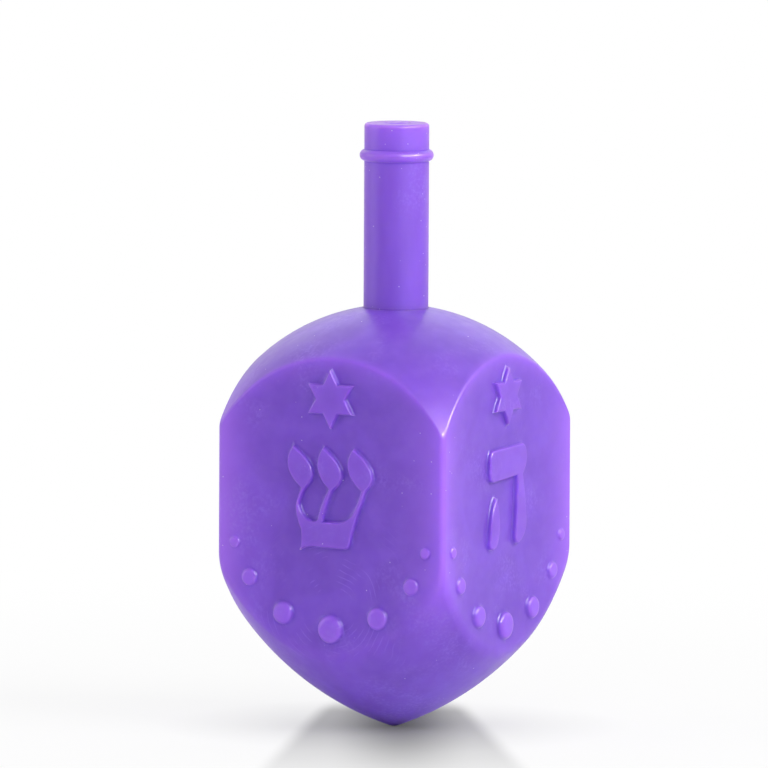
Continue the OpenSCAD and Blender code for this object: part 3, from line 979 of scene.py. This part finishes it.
def wear_stem(stem_mesh, stem):
    """Makes the bead slightly uneven and the moulding scar rough, inside the stem's own box."""
    bead = STEM_HIGH.z - stem.bead_drop
    scar_low = STEM_HIGH.z - stem.gate_height
    for vert in stem_mesh.verts:
        radius = math.hypot(vert.co.x, vert.co.y)
        if abs(vert.co.z - bead) < 2 * stem.bead_section and radius > 0:
            heading = Vector((vert.co.x, vert.co.y, 0.0)) / radius
            near = 1 - abs(vert.co.z - bead) / (2 * stem.bead_section)
            vert.co.z += stem.bead_sway * near * noise.noise(heading * BEAD_WAVES)
            pull = stem.bead_sway * near * (1 + noise.noise(heading * BEAD_DENTS + DENT_PLACE)) / 2
            if radius > stem.radius * BEAD_START:
                vert.co -= heading * pull
        elif vert.co.z > scar_low - WELD and radius < stem.gate_radius * SCAR_REACH:
            ragged = noise.noise(vert.co * SCAR_LUMPS) + GRAIN_SHARE * noise.noise(vert.co * SCAR_GRAIN)
            if radius > 0:
                vert.co.xy *= 1 + SCAR_SPREAD * ragged
            if vert.co.z > scar_low + WELD:
                vert.co.z -= stem.gate_height * (SCAR_SINK - SCAR_LUMPY * ragged) * SCAR_DEPTH
            else:
                vert.co.z += stem.gate_height * END_LUMPY * ragged
            vert.co.z = min(vert.co.z, STEM_HIGH.z)


def mark_stem_edges(piece, stem):
    """Stores for each vertex the painted glow near the stem's end and on its raised bead, and how near
    it is to a seam.
    """
    places = vertex_places(piece.data)
    reach = np.hypot(places[:, 0], places[:, 1])
    below = STEM_HIGH.z - places[:, 2]
    set_attribute(piece.data, "edge", END_PALE[0] * np.exp(-below / END_PALE[1]))
    proud = (reach - stem.radius) / (STEM_HIGH.x - stem.radius)
    proud[below > 2 * stem.bead_drop] = 0.0
    set_attribute(piece.data, "raised", BEAD_PALE * np.clip(proud, 0.0, 1.0))
    # The stem is in one piece, so no seam is near
    set_attribute(piece.data, "seam", np.full(len(places), NO_SEAM))


class DREIDEL_OT_finger_stem(bpy.types.Operator):
    """Model the finger stem with its bead, moulding scar and square foot"""

    bl_idname = "dreidel.finger_stem"
    bl_label = "Finger Stem"

    def execute(self, context):
        scene = context.scene
        stem = scene.dreidel_stem
        shank = bmesh.new()
        verts = [shank.verts.new((across, 0.0, height)) for across, height in stem_profile(stem)]
        for pair in zip(verts, verts[1:]):
            shank.edges.new(pair)
        bmesh.ops.spin(
            shank, geom=shank.verts[:] + shank.edges[:], cent=(0, 0, 0), axis=(0, 0, 1),
            angle=math.tau, steps=STEM_COLUMNS, use_merge=True,
        )
        bmesh.ops.remove_doubles(shank, verts=shank.verts, dist=WELD)
        wear_stem(shank, stem)
        bmesh.ops.recalc_face_normals(shank, faces=shank.faces)
        key = bmesh.new()
        side = 2 * (stem.radius + stem.key_proud)
        middle = Vector((0.0, 0.0, STEM_LOW.z + stem.key_height / 2))
        block = Matrix.LocRotScale(middle, None, Vector((side, side, stem.key_height)))
        bmesh.ops.create_cube(key, size=1.0, matrix=block)
        piece = united("finger_stem_moulding", shank, key)
        mark_stem_edges(piece, stem)
        smooth_piece(piece)
        look = scene.dreidel_plastic
        material = violet_plastic(
            "violet_plastic_stem", look, SCUFFS_AWAY, streak=STEM_STREAK, lighter=look.stem_paler,
            depth=look.stem_depth, sheen=look.stem_haze, spotted=STEM_SPECKS,
        )
        settle(piece, "finger_stem", material)
        return {"FINISHED"}


def add_lamp(name, azimuth, elevation, width, power, gloss_only):
    """Soft square lamp that looks at the object's middle."""
    lamp = bpy.data.lights.new(name, "AREA")
    lamp.shape = "SQUARE"
    lamp.size = width
    lamp.energy = power
    a, e = math.radians(azimuth), math.radians(elevation)
    away = Vector((math.sin(a) * math.cos(e), -math.cos(a) * math.cos(e), math.sin(e)))
    holder = bpy.data.objects.new(name, lamp)
    holder.location = away * LAMP_DISTANCE + Vector((0.0, 0.0, CAD_HIGH.z / 2))
    holder.rotation_euler = away.to_track_quat("Z", "Y").to_euler()
    holder.visible_diffuse = not gloss_only
    bpy.context.scene.collection.objects.link(holder)


def add_camera(stage):
    """Camera at the photograph's view, with the object's middle at its pixel."""
    a, e = stage.azimuth, stage.elevation
    back = Vector((math.sin(a) * math.cos(e), -math.cos(a) * math.cos(e), math.sin(e)))
    level = Vector((math.cos(a), math.sin(a), 0.0))
    rise = back.cross(level)
    right = level * math.cos(stage.lean) + rise * math.sin(stage.lean)
    up = back.cross(right)
    pixel = stage.view_height / PHOTO_PIXELS
    aim = Vector((0.0, 0.0, CAD_HIGH.z / 2))
    aim -= right * (stage.middle_x - PHOTO_PIXELS / 2) * pixel
    aim += up * (stage.middle_y - PHOTO_PIXELS / 2) * pixel
    camera = bpy.data.cameras.new("photo_camera")
    camera.sensor_width = SENSOR_WIDTH
    camera.lens = camera.sensor_width * stage.distance / stage.view_height
    camera.clip_start, camera.clip_end = CLIP_START, CLIP_END
    holder = bpy.data.objects.new("photo_camera", camera)
    holder.matrix_world = Matrix.LocRotScale(
        aim + back * stage.distance, Matrix((right, up, back)).transposed().to_quaternion(), None
    )
    bpy.context.scene.collection.objects.link(holder)
    bpy.context.scene.camera = holder


def dot_product(tree, vector, way):
    """How far a vector goes one way."""
    product = add_node(tree, "ShaderNodeVectorMath", {0: vector, 1: way}, operation="DOT_PRODUCT")
    return product.outputs["Value"]


def floor_shade(tree, place, stage):
    """Share of the light on the floor that is left by painted shade and by a painted shadow drawn one
    fixed way.
    """
    covered = add_node(
        tree, "ShaderNodeAmbientOcclusion", {"Distance": stage.shade_reach}, samples=SHADE_SAMPLES
    )
    left = combine(tree, "POWER", covered.outputs["AO"], stage.shade_depth)
    level = (math.cos(stage.shadow_turn), math.sin(stage.shadow_turn), 0.0)
    front = (math.sin(stage.shadow_turn), -math.cos(stage.shadow_turn), 0.0)
    across, along = (dot_product(tree, place, way) for way in (level, front))
    begun = ranged(tree, along, -stage.shadow_start, -stage.shadow_full, 0.0, 1.0)
    widened = combine(tree, "MULTIPLY", along, stage.shadow_widen)
    past_edge = combine(tree, "SUBTRACT", combine(tree, "ABSOLUTE", across, 0.0), widened)
    soft_low, soft_high = stage.shadow_half - stage.shadow_soft, stage.shadow_half + stage.shadow_soft
    body = ranged(tree, past_edge, soft_low, soft_high, stage.shadow_dark, 0.0)
    aside = combine(tree, "ABSOLUTE", combine(tree, "SUBTRACT", across, stage.core_aside), 0.0)
    core = ranged(tree, aside, 0.0, stage.core_half, stage.core_dark, 0.0)
    for dark, length in ((body, stage.shadow_length), (core, stage.core_length)):
        weaker = ranged(tree, along, -stage.shadow_start, length, 1.0, 0.0)
        dark = combine(tree, "MULTIPLY", combine(tree, "MULTIPLY", dark, weaker), begun)
        left = combine(tree, "MULTIPLY", left, combine(tree, "SUBTRACT", 1.0, dark))
    return left


def floor_material(stage):
    """Pale matt floor that is even and has painted shade for the camera, and white far from the object.
    """
    material = bpy.data.materials.new("pale_floor")
    material.use_nodes = True
    tree = material.node_tree
    shader = tree.nodes["Principled BSDF"]
    place = add_node(tree, "ShaderNodeTexCoord", {}).outputs["Object"]
    cloud = add_node(tree, "ShaderNodeTexNoise", {"Vector": place, **FLOOR_CLOUDS}).outputs["Fac"]
    darker = [FLOOR_DARKER * c for c in stage.floor]
    tree.links.new(mix_colour(tree, cloud, darker, stage.floor), shader.inputs["Base Color"])
    shader.inputs["Roughness"].default_value = FLOOR_ROUGHNESS
    shader.inputs["Specular IOR Level"].default_value = 0.0
    path = add_node(tree, "ShaderNodeLightPath", {})
    # The camera sees even soft painted shade and a painted shadow near the object, mixed with the lamps'
    # own cast shadows
    level = combine(tree, "MULTIPLY", floor_shade(tree, place, stage), stage.floor_level)
    even = add_node(tree, "ShaderNodeEmission", {"Color": WHITE, "Strength": level})
    evenness = combine(tree, "MULTIPLY", path.outputs["Is Camera Ray"], stage.floor_even)
    soft = add_node(tree, "ShaderNodeMixShader", {0: evenness, 1: shader.outputs[0], 2: even.outputs[0]})
    # Away from the object the camera sees plain white
    away = add_node(tree, "ShaderNodeVectorMath", {0: place}, operation="LENGTH").outputs["Value"]
    faded = ranged(tree, away, stage.floor_clear, stage.floor_fade, 0.0, 1.0)
    faded = combine(tree, "MULTIPLY", faded, path.outputs["Is Camera Ray"])
    white = add_node(tree, "ShaderNodeEmission", {"Color": WHITE, "Strength": 1.0})
    mixed = add_node(tree, "ShaderNodeMixShader", {0: faded, 1: soft.outputs[0], 2: white.outputs[0]})
    tree.links.new(mixed.outputs[0], tree.nodes["Material Output"].inputs["Surface"])
    return material


def add_sky(stage):
    """White surroundings for the camera, and soft light that is weaker from behind the camera."""
    world = bpy.data.worlds.new("studio")
    bpy.context.scene.world = world
    world.use_nodes = True
    tree = world.node_tree
    background = tree.nodes["Background"]
    way = add_node(tree, "ShaderNodeTexCoord", {}).outputs["Generated"]
    front = Vector((math.sin(stage.azimuth), -math.cos(stage.azimuth), 0.0))
    facing = dot_product(tree, way, front)
    light = ranged(tree, facing, SKY_BEHIND, SKY_FRONT, stage.sky_back, stage.sky_front)
    seen = ranged(tree, facing, SKY_BEHIND, SKY_FRONT, stage.sky_mirrored, stage.sky_front)
    path = add_node(tree, "ShaderNodeLightPath", {}).outputs
    mirrored = combine(tree, "MAXIMUM", path["Is Glossy Ray"], path["Is Transmission Ray"])
    level = mix_number(tree, mirrored, light, seen)
    level = mix_number(tree, path["Is Camera Ray"], level, 1.0)
    tree.links.new(level, background.inputs["Strength"])
    background.inputs["Color"].default_value = WHITE


class DREIDEL_OT_stage(bpy.types.Operator):
    """Set up the floor, the lamps, the surroundings and the camera"""

    bl_idname = "dreidel.stage"
    bl_label = "Stage"

    def execute(self, context):
        stage = context.scene.dreidel_stage
        context.scene.view_settings.view_transform = "Standard"
        sheet = bmesh.new()
        bmesh.ops.create_grid(sheet, x_segments=1, y_segments=1, size=FLOOR_HALF)
        floor = new_piece("floor", sheet)
        floor.data.materials.append(floor_material(stage))
        for name, azimuth, elevation, width, power, gloss_only in LAMPS:
            add_lamp(name, azimuth, elevation, width, getattr(stage, power), gloss_only)
        add_sky(stage)
        add_camera(stage)
        return {"FINISHED"}


class DREIDEL_PT_panel(bpy.types.Panel):
    """Sizes, colours and steps of the dreidel"""

    bl_idname = "DREIDEL_PT_panel"
    bl_label = "Dreidel"
    bl_space_type = "VIEW_3D"
    bl_region_type = "UI"
    bl_category = "Dreidel"

    def draw(self, context):
        for operator in OPERATORS:
            self.layout.operator(operator.bl_idname)
        for name, group in GROUPS.items():
            box = self.layout.box()
            box.label(text=group.__doc__.rstrip("."))
            for key in group.__annotations__:
                box.prop(getattr(context.scene, name), key)


GROUPS = {
    "dreidel_body": BodyShape,
    "dreidel_marks": MarkShape,
    "dreidel_stem": StemShape,
    "dreidel_plastic": PlasticLook,
    "dreidel_stage": StageLook,
}
OPERATORS = (DREIDEL_OT_half_shells, DREIDEL_OT_finger_stem, DREIDEL_OT_stage)


def register():
    for cls in (*GROUPS.values(), *OPERATORS, DREIDEL_PT_panel):
        bpy.utils.register_class(cls)
    for name, group in GROUPS.items():
        setattr(bpy.types.Scene, name, PointerProperty(type=group))


def unregister():
    for name in GROUPS:
        delattr(bpy.types.Scene, name)
    for cls in (DREIDEL_PT_panel, *reversed(OPERATORS), *reversed(GROUPS.values())):
        bpy.utils.unregister_class(cls)


def main():
    register()
    bpy.ops.dreidel.stage()
    bpy.ops.dreidel.half_shells()
    bpy.ops.dreidel.finger_stem()


if __name__ == "__main__":
    main()
